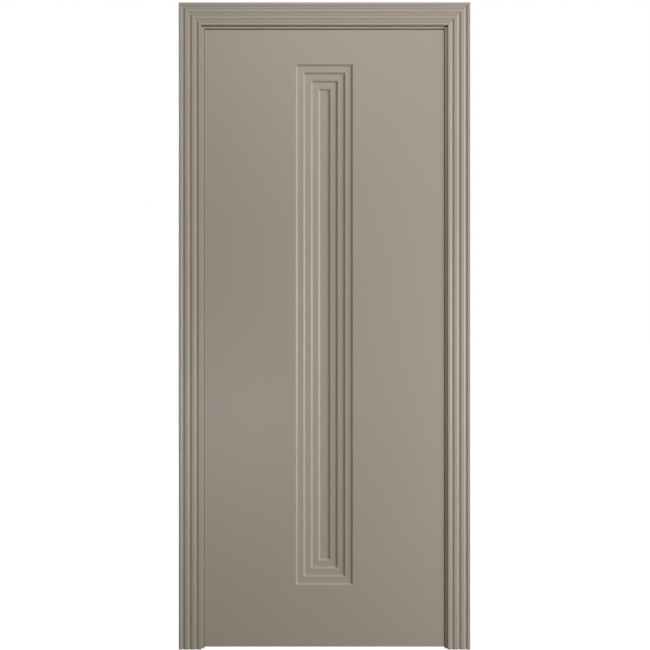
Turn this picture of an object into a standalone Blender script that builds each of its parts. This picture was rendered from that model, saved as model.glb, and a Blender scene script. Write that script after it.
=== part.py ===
# Interior door: a flush painted leaf with a sunk, stepped strip, hung in a rebated frame
# with a grooved, mitred casing on its front.
# Metres, +Z up. The front faces -Y, +X is to the right as one looks at the front, and the
# origin is on the floor, in the middle of the doorset's width and depth.

import math

import bmesh
import bpy
from mathutils import Matrix, Vector

# Leaf
LEAF_WIDTH = 0.801
LEAF_HEIGHT = 2.062
LEAF_THICKNESS = 0.044
LEAF_ARRIS = 0.0005

# Sunk strip in the leaf's front: nested steps, each one ledge further in and one step deeper
STRIP_TOP_RAIL = 0.115
STRIP_BOTTOM_RAIL = 0.2065
STRIP_FLOOR_WIDTH = 0.029
STRIP_STEPS = 4
STEP_DEPTH = 0.005
STEP_WALL_RUN = 0.0055
STEP_SIDE_LEDGE = 0.0195
STEP_END_LEDGE = 0.020

# One shallow step of the same outline in the leaf's back
BACK_STEP_DEPTH = 0.003

# Clearances around the closed leaf
HINGE_GAP = 0.001
CLOSING_GAP = 0.002
HEAD_GAP = 0.004
FLOOR_GAP = 0.006
STOP_GAP = 0.002

# Frame: a jamb beside the leaf, with a stop behind it
JAMB_THICKNESS = 0.030
JAMB_DEPTH = 0.100
STOP_PROJECTION = 0.014
JAMB_ARRIS = 0.001

# Casing: flat lands and trapezium grooves side by side
REVEAL = 0.009
CASING_THICKNESS = 0.008
CASING_GROOVES = 3
CASING_EDGE_LAND = 0.00875
CASING_LAND = 0.010
GROOVE_FLOOR = 0.0045
GROOVE_WALL_RUN = 0.004
GROOVE_DEPTH = 0.0026
CASING_OUTER_ARRIS = 0.002
CASING_INNER_ARRIS = 0.001

# Concealed hinges: one half let into the leaf's edge, the other into the jamb
HINGE_LENGTH = 0.130
HINGE_WIDTH = 0.026
HINGE_HALF_DEPTH = 0.020
HINGE_POCKET_LENGTH = 0.078
HINGE_POCKET_WIDTH = 0.017
HINGE_POCKET_DEPTH = 0.012
HINGE_END_DISTANCE = 0.210

# Fit between pieces that touch
JOINT_GAP = 0.0003
CUT_MARGIN = 0.010
ARC_STEPS = 3
ROUND_END_STEPS = 8

# Derived places
TOTAL_DEPTH = JAMB_DEPTH + CASING_THICKNESS + JOINT_GAP
WALL_FACE_Y = CASING_THICKNESS + JOINT_GAP - TOTAL_DEPTH / 2
REBATE_HALF = (HINGE_GAP + LEAF_WIDTH + CLOSING_GAP) / 2
HINGE_EDGE_X = HINGE_GAP - REBATE_HALF
LEAF_X = HINGE_EDGE_X + LEAF_WIDTH / 2
REBATE_TOP = FLOOR_GAP + LEAF_HEIGHT + HEAD_GAP
REBATE_DEPTH = LEAF_THICKNESS + STOP_GAP
CASING_HALF = REBATE_HALF + REVEAL
CASING_TOP = REBATE_TOP + REVEAL
GROOVE_MOUTH = GROOVE_FLOOR + 2 * GROOVE_WALL_RUN
CASING_WIDTH = (2 * CASING_EDGE_LAND + CASING_GROOVES * GROOVE_MOUTH
                + (CASING_GROOVES - 1) * CASING_LAND)
STRIP_WIDTH = (STRIP_FLOOR_WIDTH + 2 * STRIP_STEPS * STEP_WALL_RUN
               + 2 * (STRIP_STEPS - 1) * STEP_SIDE_LEDGE)
HINGE_Y = WALL_FACE_Y + LEAF_THICKNESS / 2
HINGE_AXIS_X = HINGE_EDGE_X - HINGE_GAP / 2

# Finish
PAINT_COLOUR = (0.335, 0.292, 0.238, 1.0)
PAINT_ROUGHNESS = 0.45
STEEL_COLOUR = (0.45, 0.44, 0.42, 1.0)
STEEL_ROUGHNESS = 0.35


def clear_scene():
    for old in list(bpy.data.objects):
        bpy.data.objects.remove(old, do_unlink=True)


def new_collection(name):
    collection = bpy.data.collections.new(name)
    bpy.context.scene.collection.children.link(collection)
    return collection


def make_material(name, colour, roughness, metallic):
    material = bpy.data.materials.new(name)
    material.use_nodes = True
    shader = material.node_tree.nodes["Principled BSDF"]
    shader.inputs["Base Color"].default_value = colour
    shader.inputs["Roughness"].default_value = roughness
    shader.inputs["Metallic"].default_value = metallic
    return material


def paint(name):
    return make_material(name, PAINT_COLOUR, PAINT_ROUGHNESS, 0.0)


def steel(name):
    return make_material(name, STEEL_COLOUR, STEEL_ROUGHNESS, 1.0)


# Each corner is (x, y, radius); a radius turns it into an arc that the edges beside it allow
def rounded_outline(corners, steps):
    points = []
    count = len(corners)
    for i, (x, y, radius) in enumerate(corners):
        corner = Vector((x, y))
        to_last = Vector(corners[i - 1][:2]) - corner
        to_next = Vector(corners[(i + 1) % count][:2]) - corner
        if radius == 0:
            points.append(corner)
            continue
        half_angle = to_last.angle(to_next) / 2
        longest_cut = min(to_last.length, to_next.length) / 2
        cut = min(radius / math.tan(half_angle), longest_cut)
        fitted = cut * math.tan(half_angle)
        middle = to_last.normalized() + to_next.normalized()
        centre = corner + middle.normalized() * (fitted / math.sin(half_angle))
        start = corner + to_last.normalized() * cut - centre
        end = corner + to_next.normalized() * cut - centre
        sweep = start.angle_signed(end)
        for k in range(steps + 1):
            points.append(centre + Matrix.Rotation(-sweep * k / steps, 2) @ start)
    return points


# A straight length of the outline, from 0 to length along its own Z, placed by the matrix
def prism(name, outline, length, matrix, collection):
    curve = bpy.data.curves.new(name + "_outline", "CURVE")
    curve.dimensions = "2D"
    curve.fill_mode = "BOTH"
    curve.extrude = length / 2
    spline = curve.splines.new("POLY")
    spline.points.add(len(outline) - 1)
    for point, place in zip(spline.points, outline):
        point.co = (place.x, place.y, 0.0, 1.0)
    spline.use_cyclic_u = True
    drawn = bpy.data.objects.new(name + "_outline", curve)
    bpy.context.scene.collection.objects.link(drawn)
    evaluated = drawn.evaluated_get(bpy.context.evaluated_depsgraph_get())
    mesh = bpy.data.meshes.new_from_object(evaluated)
    mesh.name = name
    bpy.data.objects.remove(drawn, do_unlink=True)
    mesh.transform(matrix @ Matrix.Translation((0, 0, length / 2)))
    bm = bmesh.new()
    bm.from_mesh(mesh)
    bmesh.ops.remove_doubles(bm, verts=bm.verts, dist=1e-6)
    bmesh.ops.recalc_face_normals(bm, faces=bm.faces)
    bm.to_mesh(mesh)
    bm.free()
    piece = bpy.data.objects.new(name, mesh)
    collection.objects.link(piece)
    return piece


# One straight saw cut through a piece: what lies on the normal's side falls off
def saw(piece, point, normal):
    bm = bmesh.new()
    bm.from_mesh(piece.data)
    everything = bm.verts[:] + bm.edges[:] + bm.faces[:]
    bmesh.ops.bisect_plane(bm, geom=everything, dist=1e-7, plane_co=point,
                           plane_no=normal, clear_outer=True)
    rim = [edge for edge in bm.edges if edge.is_boundary]
    bmesh.ops.holes_fill(bm, edges=rim)
    bmesh.ops.recalc_face_normals(bm, faces=bm.faces)
    bm.to_mesh(piece.data)
    bm.free()


def cut_with(piece, cutter):
    cut = piece.modifiers.new(cutter.name, "BOOLEAN")
    cut.operation = "DIFFERENCE"
    cut.solver = "EXACT"
    cut.object = cutter


def hide_cutter(cutter):
    cutter.hide_render = True
    cutter.display_type = "WIRE"


def finish(piece, material):
    piece.data.materials.clear()
    piece.data.materials.append(material)
    piece.data.shade_smooth()
    piece.data.set_sharp_from_angle(angle=math.radians(30))


# Left, right and head lengths of one section, mitred at the two top corners.
# The section's X runs outwards from the line at half_width and top, its Y is the depth.
def mitred_set(names, outline, half_width, top, material, collection):
    reach = max(point.x for point in outline)
    side_length = top + reach + CUT_MARGIN
    head_length = 2 * (half_width + reach + CUT_MARGIN)
    right_place = Matrix.Translation((half_width, 0, 0))
    left_place = Matrix.Scale(-1, 4, Vector((1, 0, 0))) @ right_place
    head_place = (Matrix.Translation((-head_length / 2, 0, top))
                  @ Matrix(((0, 0, 1, 0), (0, 1, 0, 0), (1, 0, 0, 0), (0, 0, 0, 1))))
    left = prism(names[0], outline, side_length, left_place, collection)
    right = prism(names[1], outline, side_length, right_place, collection)
    head = prism(names[2], outline, head_length, head_place, collection)
    for side, piece in ((-1, left), (1, right)):
        towards_head = Vector((-side, 0, 1)).normalized()
        corner = Vector((side * half_width, 0, top))
        saw(piece, corner - towards_head * JOINT_GAP / 2, towards_head)
        saw(head, corner + towards_head * JOINT_GAP / 2, -towards_head)
    for piece in (left, right, head):
        finish(piece, material)
    return left, right, head


def jamb_section():
    front = WALL_FACE_Y
    rebate_back = front + REBATE_DEPTH
    back = front + JAMB_DEPTH
    corners = [(0, front, JAMB_ARRIS),
               (JAMB_THICKNESS, front, 0),
               (JAMB_THICKNESS, back, 0),
               (-STOP_PROJECTION, back, JAMB_ARRIS),
               (-STOP_PROJECTION, rebate_back, JAMB_ARRIS),
               (0, rebate_back, 0)]
    return rounded_outline(corners, ARC_STEPS)


def casing_section():
    back = WALL_FACE_Y - JOINT_GAP
    front = back - CASING_THICKNESS
    corners = [(0, back, 0), (0, front, CASING_INNER_ARRIS)]
    across = CASING_EDGE_LAND
    for _ in range(CASING_GROOVES):
        corners.append((across, front, 0))
        corners.append((across + GROOVE_WALL_RUN, front + GROOVE_DEPTH, 0))
        corners.append((across + GROOVE_MOUTH - GROOVE_WALL_RUN, front + GROOVE_DEPTH, 0))
        corners.append((across + GROOVE_MOUTH, front, 0))
        across += GROOVE_MOUTH + CASING_LAND
    corners.append((CASING_WIDTH, front, CASING_OUTER_ARRIS))
    corners.append((CASING_WIDTH, back, 0))
    return rounded_outline(corners, ARC_STEPS)


# Draws a face inwards by side and end, and deeper by the depth, leaving walls behind it
def sink_face(bm, face, side, end, depth):
    face = bmesh.ops.extrude_discrete_faces(bm, faces=[face])["faces"][0]
    middle = face.calc_center_median()
    inwards = -1 if face.normal.y > 0 else 1
    for vert in face.verts:
        vert.co.x -= math.copysign(side, vert.co.x - middle.x)
        vert.co.z -= math.copysign(end, vert.co.z - middle.z)
        vert.co.y += inwards * depth
    return face


# The strip's mouth in a face of the leaf: the top rail is shorter than the bottom one
def strip_mouth(bm, face):
    side = (LEAF_WIDTH - STRIP_WIDTH) / 2
    face = sink_face(bm, face, side, (STRIP_TOP_RAIL + STRIP_BOTTOM_RAIL) / 2, 0)
    for vert in face.verts:
        vert.co.z += (STRIP_BOTTOM_RAIL - STRIP_TOP_RAIL) / 2
    return face


def make_leaf(collection):
    mesh = bpy.data.meshes.new("leaf")
    bm = bmesh.new()
    bmesh.ops.create_cube(bm, size=1.0)
    bmesh.ops.scale(bm, vec=(LEAF_WIDTH, LEAF_THICKNESS, LEAF_HEIGHT), verts=bm.verts)
    middle = (LEAF_X, WALL_FACE_Y + LEAF_THICKNESS / 2, FLOOR_GAP + LEAF_HEIGHT / 2)
    bmesh.ops.translate(bm, vec=middle, verts=bm.verts)
    front = min(bm.faces, key=lambda face: face.calc_center_median().y)
    back = max(bm.faces, key=lambda face: face.calc_center_median().y)
    front = strip_mouth(bm, front)
    for step in range(STRIP_STEPS):
        if step > 0:
            front = sink_face(bm, front, STEP_SIDE_LEDGE, STEP_END_LEDGE, 0)
        front = sink_face(bm, front, STEP_WALL_RUN, STEP_WALL_RUN, STEP_DEPTH)
    back = strip_mouth(bm, back)
    sink_face(bm, back, STEP_WALL_RUN, STEP_WALL_RUN, BACK_STEP_DEPTH)
    bmesh.ops.recalc_face_normals(bm, faces=bm.faces)
    bm.to_mesh(mesh)
    bm.free()
    leaf = bpy.data.objects.new("leaf", mesh)
    collection.objects.link(leaf)
    finish(leaf, paint("leaf_paint"))
    arris = leaf.modifiers.new("arris", "BEVEL")
    arris.width = LEAF_ARRIS
    arris.segments = 2
    arris.limit_method = "ANGLE"
    arris.angle_limit = math.radians(60)
    return leaf


# A flat bar with half-round ends, along Z, drawn in the leaf's edge
def round_ended(name, width, length, low_x, high_x, z, collection):
    half_width = width / 2
    half_length = length / 2
    corners = [(-half_width, -half_length, half_width), (half_width, -half_length, half_width),
               (half_width, half_length, half_width), (-half_width, half_length, half_width)]
    outline = rounded_outline(corners, ROUND_END_STEPS // 2)
    axes = Matrix(((0, 0, 1, 0), (1, 0, 0, 0), (0, 1, 0, 0), (0, 0, 0, 1)))
    place = Matrix.Translation((low_x, HINGE_Y, z)) @ axes
    return prism(name, outline, high_x - low_x, place, collection)


# One half of a hinge and its mortise: side is 1 into the leaf and -1 into the jamb
def hinge_half(name, host, side, z, material, collection, cutters):
    face_x = HINGE_EDGE_X if side > 0 else -REBATE_HALF
    bottom_x = face_x + side * HINGE_HALF_DEPTH
    pocket_x = face_x + side * HINGE_POCKET_DEPTH
    outside_x = face_x - side * CUT_MARGIN
    mortise = round_ended(name + "_mortise", HINGE_WIDTH, HINGE_LENGTH,
                          *sorted((outside_x, bottom_x)), z, cutters)
    pocket = round_ended(name + "_pocket", HINGE_POCKET_WIDTH, HINGE_POCKET_LENGTH,
                         *sorted((outside_x, pocket_x)), z, cutters)
    body = round_ended(name, HINGE_WIDTH - 2 * JOINT_GAP, HINGE_LENGTH - 2 * JOINT_GAP,
                       *sorted((face_x, bottom_x - side * JOINT_GAP)), z, collection)
    for cutter in (mortise, pocket):
        hide_cutter(cutter)
    cut_with(host, mortise)
    cut_with(body, pocket)
    finish(body, material)
    return body


def hinge_places():
    low = FLOOR_GAP + HINGE_END_DISTANCE
    high = FLOOR_GAP + LEAF_HEIGHT - HINGE_END_DISTANCE
    return {"bottom": low, "middle": (low + high) / 2, "top": high}


def main():
    clear_scene()
    door = new_collection("interior_door")
    cutters = new_collection("cutters")
    jamb_left, _, _ = mitred_set(("jamb_left", "jamb_right", "jamb_head"), jamb_section(),
                                 REBATE_HALF, REBATE_TOP, paint("frame_paint"), door)
    mitred_set(("casing_left", "casing_right", "casing_head"), casing_section(),
               CASING_HALF, CASING_TOP, paint("casing_paint"), door)
    axis = bpy.data.objects.new("leaf_axis", None)
    axis.location = (HINGE_AXIS_X, WALL_FACE_Y, 0)
    door.objects.link(axis)
    leaf = make_leaf(door)
    hinge_steel = steel("hinge_steel")
    moving = [leaf]
    for place, z in hinge_places().items():
        moving.append(hinge_half("hinge_%s_leaf" % place, leaf, 1, z,
                                 hinge_steel, door, cutters))
        hinge_half("hinge_%s_jamb" % place, jamb_left, -1, z, hinge_steel, door, cutters)
    bpy.context.view_layer.update()
    for piece in moving:
        piece.parent = axis
        piece.matrix_parent_inverse = axis.matrix_world.inverted()


main()
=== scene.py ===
# An interior door: a painted leaf with a sunk, stepped strip, hung in a rebated frame with a
# grooved casing. Metres, +Z up, and the front faces -Y.
import math
import bpy
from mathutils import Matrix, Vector


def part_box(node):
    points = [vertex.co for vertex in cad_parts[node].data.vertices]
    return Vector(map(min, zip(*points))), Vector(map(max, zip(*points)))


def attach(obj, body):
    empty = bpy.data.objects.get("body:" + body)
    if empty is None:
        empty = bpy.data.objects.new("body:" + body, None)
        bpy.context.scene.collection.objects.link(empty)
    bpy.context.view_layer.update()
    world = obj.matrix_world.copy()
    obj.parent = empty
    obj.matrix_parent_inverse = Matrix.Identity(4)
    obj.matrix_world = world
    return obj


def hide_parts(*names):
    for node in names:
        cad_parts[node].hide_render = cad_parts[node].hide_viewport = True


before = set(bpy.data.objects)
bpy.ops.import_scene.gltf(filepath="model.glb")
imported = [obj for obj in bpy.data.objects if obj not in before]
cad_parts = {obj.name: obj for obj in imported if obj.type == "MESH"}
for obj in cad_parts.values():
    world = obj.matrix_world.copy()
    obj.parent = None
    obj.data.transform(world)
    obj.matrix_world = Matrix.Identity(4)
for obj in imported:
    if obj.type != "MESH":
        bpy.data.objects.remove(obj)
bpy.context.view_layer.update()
bpy.ops.object.select_all(action="DESELECT")
hair = 1e-5                             # two places closer than this are the same place
print("packed door loaded:", len(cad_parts), "nodes")


cameraValues = {
    "distance": 2.11,                   # from the leaf's front face
    "sideways": 0.0017,
    "height": 1.0813,
    "lens": 34.96,
    "sensor": 36.0,
    "farEnd": 200.0,
}


def setCamera():
    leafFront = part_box("leaf")[0].y
    place = (cameraValues["sideways"], leafFront - cameraValues["distance"], cameraValues["height"])
    bpy.ops.object.camera_add(location=place, rotation=(math.radians(90), 0, 0))
    camera = bpy.context.object
    camera.name = "viewer"
    camera.data.sensor_width = cameraValues["sensor"]
    camera.data.lens = cameraValues["lens"]
    camera.data.clip_end = cameraValues["farEnd"]
    camera.data.dof.use_dof = False
    bpy.context.scene.camera = camera


class Wire:                             # a node's output that takes part in sums
    def __init__(self, nodes, socket):
        self.nodes = nodes
        self.socket = socket

    def reckon(self, operation, first, second):
        return self.nodes.add("ShaderNodeMath", {"operation": operation}, {0: first, 1: second})

    def __add__(self, other):
        return self.reckon("ADD", self, other)

    def __radd__(self, other):
        return self.reckon("ADD", other, self)

    def __sub__(self, other):
        return self.reckon("SUBTRACT", self, other)

    def __rsub__(self, other):
        return self.reckon("SUBTRACT", other, self)

    def __mul__(self, other):
        return self.reckon("MULTIPLY", self, other)

    def __rmul__(self, other):
        return self.reckon("MULTIPLY", other, self)


class Nodes:                            # the node tree of one material, or of the studio's air
    def __init__(self, tree):
        self.tree = tree
        tree.nodes.clear()

    def add(self, kind, settings=None, sockets=None, output=0):
        node = self.tree.nodes.new(kind)
        for name, value in (settings or {}).items():
            setattr(node, name, value)
        for key, value in (sockets or {}).items():
            if isinstance(value, Wire):
                self.tree.links.new(value.socket, node.inputs[key])
            else:
                node.inputs[key].default_value = value
        return Wire(self, node.outputs[output]) if len(node.outputs) else None


# Studio

studioValues = {
    "air": (0.07, 0.07, 0.07, 1),       # soft light from all round
    "backdrop": (1.0, 1.0, 1.0, 1),     # what the viewer sees behind the door
    "floorPaint": (0.06, 0.06, 0.06, 1),
    "floorRoughness": 0.9,
    "floorGlow": 1.0,
    "floorSize": 80.0,
    "floorDrop": 0.0005,                # below the door's foot
    "aim": (0.0, 0.0, 1.1),
    "lamps": {                          # place, size, power and colour of each soft box
        "low_right_lamp": ((2.6, -1.8, 0.4), (0.8, 0.8), 42.5, (1.0, 0.95, 0.98)),
        "middle_right_lamp": ((2.6, -1.2, 1.2), (0.8, 0.8), 33.0, (0.97, 1.0, 0.93)),
        "high_right_lamp": ((3.4, -1.2, 3.0), (0.8, 0.8), 43.0, (0.95, 0.88, 1.0)),
        "wide_front_lamp": ((0.0, -5.0, 4.6), (3.5, 0.8), 137.0, (1.0, 0.985, 0.955)),
        "low_left_lamp": ((-0.6, -1.8, 0.5), (0.4, 0.4), 4.8, (0.93, 0.97, 1.0)),
        "back_lamp": ((-2.6, 2.8, 2.6), (1.6, 1.6), 240.0, (1.0, 1.0, 1.0)),
    },
}


def addLamp(name, place, size, power, colour):
    bpy.ops.object.light_add(type="AREA", location=place)
    lamp = bpy.context.object
    lamp.name = name
    towards = Vector(studioValues["aim"]) - Vector(place)
    lamp.rotation_euler = towards.to_track_quat("-Z", "Y").to_euler()
    lamp.visible_camera = False
    lamp.data.shape = "RECTANGLE"
    lamp.data.size, lamp.data.size_y = size
    lamp.data.energy = power
    lamp.data.color = colour


def setStudio():
    bpy.context.scene.view_settings.view_transform = "Standard"
    air = bpy.data.worlds.new("studio_air")
    bpy.context.scene.world = air
    air.use_nodes = True
    nodes = Nodes(air.node_tree)
    seen = nodes.add("ShaderNodeLightPath", output="Is Camera Ray")
    lit = nodes.add("ShaderNodeBackground", sockets={"Color": studioValues["air"]})
    shown = nodes.add("ShaderNodeBackground", sockets={"Color": studioValues["backdrop"]})
    both = nodes.add("ShaderNodeMixShader", sockets={0: seen, 1: lit, 2: shown})
    nodes.add("ShaderNodeOutputWorld", sockets={"Surface": both})
    for name, (place, size, power, colour) in studioValues["lamps"].items():
        addLamp(name, place, size, power, colour)


def addFloor():
    bpy.ops.mesh.primitive_plane_add(size=studioValues["floorSize"],
                                     location=(0, 0, -studioValues["floorDrop"]))
    floor = bpy.context.object
    floor.name = "studio_floor"
    pale = bpy.data.materials.new("pale_floor")
    pale.use_nodes = True
    nodes = Nodes(pale.node_tree)
    face = nodes.add("ShaderNodeBsdfPrincipled", sockets={
        "Base Color": studioValues["floorPaint"], "Roughness": studioValues["floorRoughness"],
        "Emission Color": (1, 1, 1, 1), "Emission Strength": studioValues["floorGlow"]})
    nodes.add("ShaderNodeOutputMaterial", sockets={"Surface": face})
    floor.data.materials.append(pale)
    floor.visible_diffuse = False       # a white floor this near would light the door's foot
    floor.visible_glossy = False


# Finishes

enamelValues = {
    "light": (0.343, 0.300, 0.245, 1),
    "dark": (0.327, 0.284, 0.231, 1),
    "cloud": (2.4, 3.0),                # scale and detail: slow drift of tone over the board
    "peel": (380.0, 2.0),               # sprayed skin, waves of about 3 mm
    "grain": (1500.0, 1.0),
    "cloudInTone": 0.8,                 # the rest is peel
    "peelInSkin": 0.75,                 # the rest is grain
    "peelHeight": 0.000010,
    "roughness": 0.44,
    "roughnessRange": 0.06,
}


# The offset moves the pattern, so that no two boards carry the same one
def enamel(name, offset):
    v = enamelValues
    paint = bpy.data.materials.new(name)
    paint.use_nodes = True
    nodes = Nodes(paint.node_tree)
    place = nodes.add("ShaderNodeTexCoord", output="Object")
    moved = nodes.add("ShaderNodeMapping", sockets={"Vector": place, "Location": offset})

    def noise(scale, detail):
        return nodes.add("ShaderNodeTexNoise", sockets={
            "Vector": moved, "Scale": scale, "Detail": detail})

    cloud = noise(*v["cloud"])
    peel = noise(*v["peel"])
    grain = noise(*v["grain"])
    tone = nodes.add("ShaderNodeMix", {"data_type": "RGBA"}, {
        0: cloud * v["cloudInTone"] + peel * (1 - v["cloudInTone"]), 6: v["dark"], 7: v["light"]}, 2)
    sheen = v["roughness"] + (cloud * 0.5 + peel * 0.5 - 0.5) * v["roughnessRange"]
    skin = nodes.add("ShaderNodeBump", sockets={
        "Strength": 1.0, "Distance": v["peelHeight"],
        "Height": peel * v["peelInSkin"] + grain * (1 - v["peelInSkin"])})
    face = nodes.add("ShaderNodeBsdfPrincipled", sockets={
        "Base Color": tone, "Roughness": sheen, "Normal": skin, "Specular IOR Level": 0.5})
    nodes.add("ShaderNodeOutputMaterial", sockets={"Surface": face})
    return paint


steelValues = {
    "light": (0.74, 0.72, 0.69),
    "dark": (0.62, 0.60, 0.57),
    "screwBrightness": 1.15,            # against the hinge round it
    "strokes": (2400.0, 2400.0, 60.0),  # brushed along the door's height
    "strokeDetail": 3.0,
    "strokeHeight": 0.000004,
    "roughness": 0.38,
    "roughnessRange": 0.12,
}


def plated(name, brightness):
    v = steelValues
    steel = bpy.data.materials.new(name)
    steel.use_nodes = True
    nodes = Nodes(steel.node_tree)
    place = nodes.add("ShaderNodeTexCoord", output="Object")
    stretched = nodes.add("ShaderNodeMapping", sockets={"Vector": place, "Scale": v["strokes"]})
    strokes = nodes.add("ShaderNodeTexNoise", sockets={
        "Vector": stretched, "Scale": 1.0, "Detail": v["strokeDetail"]})
    light = [channel * brightness for channel in v["light"]] + [1]
    dark = [channel * brightness for channel in v["dark"]] + [1]
    tone = nodes.add("ShaderNodeMix", {"data_type": "RGBA"}, {0: strokes, 6: dark, 7: light}, 2)
    lines = nodes.add("ShaderNodeBump", sockets={
        "Strength": 1.0, "Distance": v["strokeHeight"], "Height": strokes})
    sheen = v["roughness"] + (strokes - 0.5) * v["roughnessRange"]
    face = nodes.add("ShaderNodeBsdfPrincipled", sockets={
        "Base Color": tone, "Metallic": 1.0, "Roughness": sheen, "Normal": lines})
    nodes.add("ShaderNodeOutputMaterial", sockets={"Surface": face})
    return steel


# Bench work: what every piece is made with

benchValues = {
    "smoothAngle": 35,                  # degrees between faces that still shade as one
    "arrisSegments": 4,
    "mitreLine": 0.0001,                # what shows of a mitre under the paint
}


def pickOnly(piece):
    bpy.ops.object.select_all(action="DESELECT")
    piece.select_set(True)
    bpy.context.view_layer.objects.active = piece


# Opens a piece for editing with the faces or edges picked that the test says yes to
def pick(piece, kind, test):
    pickOnly(piece)
    bpy.ops.object.mode_set(mode="EDIT")
    bpy.ops.mesh.select_mode(type=kind)
    bpy.ops.mesh.select_all(action="DESELECT")
    bpy.ops.object.mode_set(mode="OBJECT")
    mesh = piece.data
    if kind == "FACE":
        for face in mesh.polygons:
            face.select = test(face.center, face.normal)
    else:
        for edge in mesh.edges:
            edge.select = test(*(mesh.vertices[i].co for i in edge.vertices))
    bpy.ops.object.mode_set(mode="EDIT")


def closeEdit():
    bpy.ops.object.mode_set(mode="OBJECT")


def everyFace(centre, facing):
    return True


def applyPlace():
    bpy.ops.object.transform_apply(location=True, rotation=True, scale=True)
    return bpy.context.object


def addBlock(name, low, high):
    bpy.ops.object.select_all(action="DESELECT")
    bpy.ops.mesh.primitive_cube_add(size=1, location=(low + high) / 2, scale=high - low)
    block = applyPlace()
    block.name = name
    block.data.name = name
    return block


# The picked face leaves a skirt behind: it moves by the step and then shrinks about a point
def drawOut(step, shrink, about):
    bpy.ops.mesh.extrude_region_move(TRANSFORM_OT_translate={"value": step})
    bpy.ops.transform.resize(value=shrink, center_override=about)


def scoreLine(piece, point, normal):
    pick(piece, "FACE", everyFace)
    bpy.ops.mesh.bisect(plane_co=point, plane_no=normal)
    closeEdit()


# What lies on the normal's side of the cut falls off
def saw(piece, point, normal):
    pick(piece, "FACE", everyFace)
    bpy.ops.mesh.bisect(plane_co=point, plane_no=normal, use_fill=True, clear_outer=True)
    closeEdit()


# At each top corner the side pieces keep below the mitre and the head piece above it
def sawMitres(left, right, head, halfWidth, top):
    gap = benchValues["mitreLine"] / 2
    for piece, side in ((left, -1), (right, 1), (head, -1), (head, 1)):
        corner = Vector((side * halfWidth, 0, top))
        towardsHead = Vector((-side, 0, 1)).normalized()
        if piece == head:
            saw(piece, corner + towardsHead * gap, -towardsHead)
        else:
            saw(piece, corner - towardsHead * gap, towardsHead)


# An edge of the block itself, where two of its faces meet
def isArris(low, high):
    def test(a, b):
        shared = 0
        for axis in range(3):
            for plane in (low[axis], high[axis]):
                shared += abs(a[axis] - plane) < hair and abs(b[axis] - plane) < hair
        return shared == 2
    return test


def roundPicked(radius, segments):
    bpy.ops.mesh.bevel(offset=radius, segments=segments, affect="EDGES")
    closeEdit()


def roundSharp(piece, degrees, radius, segments):
    pick(piece, "EDGE", lambda a, b: False)
    bpy.ops.mesh.edges_select_sharp(sharpness=math.radians(degrees))
    roundPicked(radius, segments)


def combine(piece, tool, operation):
    pickOnly(piece)
    step = piece.modifiers.new("step", "BOOLEAN")
    step.operation = operation
    step.object = tool
    bpy.ops.object.modifier_apply(modifier=step.name)
    bpy.data.objects.remove(tool, do_unlink=True)


def coat(piece, material):
    piece.data.materials.clear()
    piece.data.materials.append(material)


def finishPiece(piece, node, body):
    pickOnly(piece)
    bpy.ops.object.shade_smooth_by_angle(angle=math.radians(benchValues["smoothAngle"]))
    even = piece.modifiers.new("even", "WEIGHTED_NORMAL")
    even.keep_sharp = True
    bpy.ops.object.modifier_apply(modifier=even.name)
    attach(piece, body)
    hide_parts(node)


# Leaf

leafValues = {
    "topRail": 0.115,
    "bottomRail": 0.2065,
    "steps": 4,                         # of the sunk strip in the front
    "stepDepth": 0.005,
    "wallRun": 0.0055,
    "sideLedge": 0.0195,
    "endLedge": 0.020,
    "floorWidth": 0.029,
    "backDepth": 0.003,                 # one shallow step in the back
    "arris": 0.0005,
    "softAngle": 25,                    # degrees from which an edge is softened
    "softEdge": 0.0006,
    "softSegments": 3,
    "patternOffset": (7.3, 2.2, 4.6),
}


# Sinks nested steps into the front or the back of the leaf, from its faceY inwards
def sinkStrip(leaf, low, high, faceY, steps, depth):
    v = leafValues
    stripWidth = (v["floorWidth"] + 2 * v["steps"] * v["wallRun"]
                  + 2 * (v["steps"] - 1) * v["sideLedge"])
    centre = Vector(((low.x + high.x) / 2, faceY, (low.z + high.z) / 2))
    width = high.x - low.x
    height = high.z - low.z
    moves = [(Vector((0, 0, (v["bottomRail"] - v["topRail"]) / 2)),
              (width - stripWidth) / 2, (v["bottomRail"] + v["topRail"]) / 2)]
    for step in range(steps):
        if step > 0:
            moves.append((Vector((0, 0, 0)), v["sideLedge"], v["endLedge"]))
        moves.append((Vector((0, depth, 0)), v["wallRun"], v["wallRun"]))
    pick(leaf, "FACE", lambda middle, facing: abs(middle.y - faceY) < hair)
    for move, sides, ends in moves:
        centre += move
        drawOut(move, (1 - 2 * sides / width, 1, 1 - 2 * ends / height), centre)
        width -= 2 * sides
        height -= 2 * ends
    closeEdit()


def makeLeaf():
    v = leafValues
    low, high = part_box("leaf")
    leaf = addBlock("painted_leaf", low, high)
    sinkStrip(leaf, low, high, low.y, v["steps"], v["stepDepth"])
    sinkStrip(leaf, low, high, high.y, 1, -v["backDepth"])
    pick(leaf, "EDGE", isArris(low, high))
    roundPicked(v["arris"], benchValues["arrisSegments"])
    roundSharp(leaf, v["softAngle"], v["softEdge"], v["softSegments"])
    for place in hingePlaces:
        combine(leaf, mortiseTool(place, 1), "DIFFERENCE")
    coat(leaf, enamel("leaf_enamel", v["patternOffset"]))
    finishPiece(leaf, "leaf", "leaf")
    print("leaf made")


# Frame

jambValues = {
    "stopProjection": 0.014,
    "rebateDepth": 0.046,
    "arris": 0.001,
    "patternOffset": (3.1, 0.7, 1.9),
}


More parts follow.
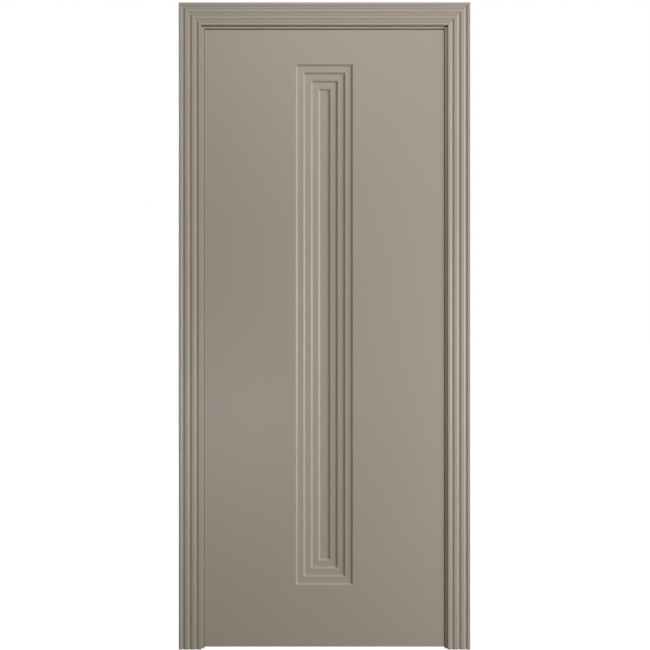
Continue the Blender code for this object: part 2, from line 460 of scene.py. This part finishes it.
# across is the axis of the board's thickness, and outwards is +1 or -1 along it, off the leaf
def millJamb(name, node, across, outwards):
    low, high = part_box(node)
    stop = jambValues["stopProjection"]
    if outwards > 0:
        low[across] += stop
        rebateFace = low[across]
    else:
        high[across] -= stop
        rebateFace = high[across]
    jamb = addBlock(name, low, high)
    rebateBack = low.y + jambValues["rebateDepth"]
    scoreLine(jamb, (0, rebateBack, 0), (0, 1, 0))
    pick(jamb, "FACE", lambda middle, facing: (abs(middle[across] - rebateFace) < hair
                                               and middle.y > rebateBack))
    step = Vector((0, 0, 0))
    step[across] = -outwards * stop
    bpy.ops.mesh.extrude_region_move(TRANSFORM_OT_translate={"value": step})
    closeEdit()
    stopFace = rebateFace - outwards * stop

    def isSoft(a, b):
        isLong = abs(a.y - b.y) < hair and abs(a[across] - b[across]) < hair
        atFront = abs(a[across] - rebateFace) < hair and abs(a.y - low.y) < hair
        return isLong and (atFront or abs(a[across] - stopFace) < hair)

    pick(jamb, "EDGE", isSoft)
    roundPicked(jambValues["arris"], benchValues["arrisSegments"])
    return jamb


def makeFrame():
    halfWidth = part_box("jamb_right")[0].x + jambValues["stopProjection"]
    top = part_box("jamb_head")[0].z + jambValues["stopProjection"]
    left = millJamb("painted_left_jamb", "jamb_left", 0, -1)
    right = millJamb("painted_right_jamb", "jamb_right", 0, 1)
    head = millJamb("painted_head_jamb", "jamb_head", 2, 1)
    sawMitres(left, right, head, halfWidth, top)
    for place in hingePlaces:
        combine(left, mortiseTool(place, -1), "DIFFERENCE")
    paint = enamel("frame_enamel", jambValues["patternOffset"])
    for piece, node in ((left, "jamb_left"), (right, "jamb_right"), (head, "jamb_head")):
        coat(piece, paint)
        finishPiece(piece, node, "frame")
    print("frame made")


# Casing

casingValues = {
    "grooves": 3,
    "edgeLand": 0.00875,
    "land": 0.010,
    "grooveFloor": 0.0045,
    "wallRun": 0.004,
    "grooveDepth": 0.0026,
    "outerArris": 0.002,
    "innerArris": 0.001,
    "softEdge": 0.0005,
    "softSegments": 2,
    "patternOffset": (0.0, 0.0, 0.0),
}


# The board starts at the grooves' depth, and its lands are drawn out of it towards the viewer
def millCasing(name, node, across, outwards):
    v = casingValues
    low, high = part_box(node)
    front = low.y
    low.y += v["grooveDepth"]
    casing = addBlock(name, low, high)
    inner, outer = (low[across], high[across])[::outwards]
    mouth = v["grooveFloor"] + 2 * v["wallRun"]
    lands = []                          # top of each land, from its inner to its outer edge
    start = inner
    for groove in range(v["grooves"]):
        width = v["edgeLand"] if groove == 0 else v["land"]
        lands.append((start, start + outwards * width))
        start += outwards * (width + mouth)
    lands.append((start, outer))
    run = outwards * v["wallRun"]
    normal = Vector((0, 0, 0))
    normal[across] = 1
    for groove in range(v["grooves"]):
        scoreLine(casing, normal * (lands[groove][1] + run), normal)
        scoreLine(casing, normal * (lands[groove + 1][0] - run), normal)
    for near, far in lands:
        nearFoot = near if near == inner else near - run
        farFoot = far if far == outer else far + run
        fixed = inner if near == inner else outer if far == outer else (near + far) / 2
        middle = (nearFoot + farFoot) / 2
        shrink = Vector((1, 1, 1))
        shrink[across] = (far - near) / (farFoot - nearFoot)
        pick(casing, "FACE", lambda centre, facing: (abs(centre.y - low.y) < hair
                                                     and abs(centre[across] - middle) < hair))
        drawOut((0, -v["grooveDepth"], 0), shrink, normal * fixed)
        closeEdit()

    def isLong(a, b):
        return abs(a.y - b.y) < hair and abs(a[across] - b[across]) < hair

    for edgePlace, radius in ((inner, v["innerArris"]), (outer, v["outerArris"])):
        pick(casing, "EDGE", lambda a, b: (isLong(a, b) and abs(a.y - front) < hair
                                           and abs(a[across] - edgePlace) < hair))
        roundPicked(radius, benchValues["arrisSegments"])
    inside = sorted((inner + outwards * v["edgeLand"] / 2, outer - outwards * v["edgeLand"] / 2))
    pick(casing, "EDGE", lambda a, b: (isLong(a, b) and inside[0] < a[across] < inside[1]
                                       and a.y < low.y + hair))
    roundPicked(v["softEdge"], v["softSegments"])
    return casing


def makeCasing():
    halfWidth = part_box("casing_right")[0].x
    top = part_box("casing_head")[0].z
    left = millCasing("painted_left_casing", "casing_left", 0, -1)
    right = millCasing("painted_right_casing", "casing_right", 0, 1)
    head = millCasing("painted_head_casing", "casing_head", 2, 1)
    sawMitres(left, right, head, halfWidth, top)
    paint = enamel("casing_enamel", casingValues["patternOffset"])
    for piece, node in ((left, "casing_left"), (right, "casing_right"), (head, "casing_head")):
        coat(piece, paint)
        finishPiece(piece, node, "frame")
    print("casing made")


# Hinges

hingePlaces = ("bottom", "middle", "top")
hingeValues = {
    "fit": 0.0003,                      # between a hinge half and its mortise, a screw and its sink
    "endSegments": 12,                  # in each quarter of a round end
    "pocketLength": 0.078,
    "pocketWidth": 0.017,
    "pocketDepth": 0.012,
    "toolReach": 0.010,                 # how far a cutting tool stands out of the face
    "links": 3,
    "linkLength": 0.022,
    "linkWidth": 0.0150,
    "linkDepth": 0.0095,
    "linkInset": 0.0015,
    "linkPitch": 0.0245,
    "linkRound": 0.0040,
    "linkSegments": 6,
    "pinRadius": 0.0018,
    "pinSides": 16,
    "pinSpread": 0.0030,
    "pinEnd": 0.001,                    # what each end of a pin has in the hinge's body
    "screwRadius": 0.0036,
    "screwSides": 28,
    "screwSlope": 0.0016,
    "screwDrop": 0.0001,                # below the hinge's face
    "screwRise": 0.050,                 # from the hinge's middle
    "screwSpread": 0.0058,
    "sinkReach": 0.001,                 # how far the sink's cutter stands out of the face
    "recessLength": 0.0040,
    "recessWidth": 0.0009,
    "recessDepth": 0.0009,
}


# A flat bar with half-round ends, along Z, lying through the thickness of the leaf's edge
def addRoundEnded(name, low, high):
    bar = addBlock(name, low, high)
    pick(bar, "EDGE", lambda a, b: abs(a.y - b.y) < hair and abs(a.z - b.z) < hair)
    bpy.ops.mesh.bevel(offset=(high.y - low.y) / 2 - hair, segments=hingeValues["endSegments"],
                       affect="EDGES")
    bpy.ops.mesh.select_all(action="SELECT")
    bpy.ops.mesh.remove_doubles(threshold=4 * hair)
    closeEdit()
    return bar


# side is 1 for the half in the leaf's edge and -1 for the one in the jamb
def mortiseTool(place, side):
    low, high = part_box("hinge_%s_%s" % (place, "leaf" if side > 0 else "jamb"))
    fit = hingeValues["fit"]
    deepFit = Vector((fit, fit, fit))
    reach = Vector((hingeValues["toolReach"], fit, fit))
    if side > 0:
        return addRoundEnded("mortise", low - reach, high + deepFit)
    return addRoundEnded("mortise", low - deepFit, high + reach)


# Along X, with its wide end at startX
def addCone(wide, narrow, depth, startX, y, z):
    bpy.ops.object.select_all(action="DESELECT")
    bpy.ops.mesh.primitive_cone_add(vertices=hingeValues["screwSides"], radius1=wide, radius2=narrow,
                                    depth=depth, location=(startX + depth / 2, y, z),
                                    rotation=(0, math.radians(90), 0))
    return applyPlace()


def makeScrew(faceX, y, z, material):
    v = hingeValues
    slope = v["screwSlope"]
    screw = addCone(v["screwRadius"], v["screwRadius"] - slope, slope, faceX, y, z)
    screw.name = "screw"
    longSide = v["recessLength"] / 2
    shortSide = v["recessWidth"] / 2
    for halfY, halfZ in ((longSide, shortSide), (shortSide, longSide)):
        low = Vector((faceX - v["sinkReach"], y - halfY, z - halfZ))
        high = Vector((faceX + v["recessDepth"], y + halfY, z + halfZ))
        combine(screw, addBlock("recess", low, high), "DIFFERENCE")
    coat(screw, material)
    return screw


def makeLeafHalf(steel, screwSteel):
    v = hingeValues
    low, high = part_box("hinge_bottom_leaf")
    faceX = low.x
    centre = (low + high) / 2
    half = addRoundEnded("hinge_half", low, high)
    halfLength = v["pocketLength"] / 2
    halfWidth = v["pocketWidth"] / 2
    pocket = addRoundEnded(
        "pocket", Vector((faceX - v["toolReach"], centre.y - halfWidth, centre.z - halfLength)),
        Vector((faceX + v["pocketDepth"], centre.y + halfWidth, centre.z + halfLength)))
    combine(half, pocket, "DIFFERENCE")
    screwPlaces = [(centre.y + across * v["screwSpread"], centre.z + up * v["screwRise"])
                   for up in (-1, 1) for across in (-1, 1)]
    sinkDepth = v["screwSlope"] + v["fit"] + v["sinkReach"]
    sinkRadius = v["screwRadius"] + v["fit"] + v["sinkReach"]
    for y, z in screwPlaces:
        sink = addCone(sinkRadius, sinkRadius - sinkDepth, sinkDepth, faceX - v["sinkReach"], y, z)
        combine(half, sink, "DIFFERENCE")
    linkX = faceX + v["linkInset"]
    linkHalf = Vector((0, v["linkWidth"], v["linkLength"])) / 2
    for number in range(v["links"]):
        z = centre.z + (number - (v["links"] - 1) / 2) * v["linkPitch"]
        low = Vector((linkX, centre.y, z)) - linkHalf
        high = Vector((linkX + v["linkDepth"], centre.y, z)) + linkHalf
        link = addBlock("link", low, high)
        pick(link, "EDGE", lambda a, b: (abs(a.x - linkX) < hair and abs(b.x - a.x) < hair
                                         and abs(a.y - b.y) < hair))
        roundPicked(v["linkRound"], v["linkSegments"])
        combine(half, link, "UNION")
    for across in (-1, 1):
        bpy.ops.object.select_all(action="DESELECT")
        bpy.ops.mesh.primitive_cylinder_add(
            vertices=v["pinSides"], radius=v["pinRadius"], depth=v["pocketLength"] + 2 * v["pinEnd"],
            location=(linkX + v["linkDepth"] / 2, centre.y + across * v["pinSpread"], centre.z))
        combine(half, applyPlace(), "UNION")
    coat(half, steel)
    screws = [makeScrew(faceX + v["screwDrop"], y, z, screwSteel) for y, z in screwPlaces]
    pickOnly(half)
    for screw in screws:
        screw.select_set(True)
    bpy.ops.object.join()
    return half


def copyPiece(piece, name):
    pickOnly(piece)
    bpy.ops.object.duplicate(linked=False)
    copy = bpy.context.object
    copy.name = name
    copy.data.name = name
    return copy


def makeHinges():
    steel = plated("hinge_nickel", 1.0)
    pattern = makeLeafHalf(steel, plated("screw_nickel", steelValues["screwBrightness"]))
    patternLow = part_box("hinge_bottom_leaf")[0]
    for place in hingePlaces:
        for host, body in (("leaf", "leaf"), ("jamb", "frame")):
            node = "hinge_%s_%s" % (place, host)
            low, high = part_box(node)
            half = copyPiece(pattern, "%s_hinge_%s_half" % (place, host))
            pick(half, "FACE", everyFace)
            bpy.ops.transform.translate(value=(0, 0, low.z - patternLow.z))
            if host == "jamb":          # turned half round about the line between the two halves
                middle = Vector(((patternLow.x + high.x) / 2, (low.y + high.y) / 2,
                                 (low.z + high.z) / 2))
                bpy.ops.transform.rotate(value=math.pi, orient_axis="Z", center_override=middle)
            closeEdit()
            finishPiece(half, node, body)
    bpy.data.objects.remove(pattern, do_unlink=True)
    print("hinges made")


setCamera()
setStudio()
addFloor()
print("camera, studio and floor set")
makeCasing()
makeFrame()
makeLeaf()
makeHinges()

print("door finished")
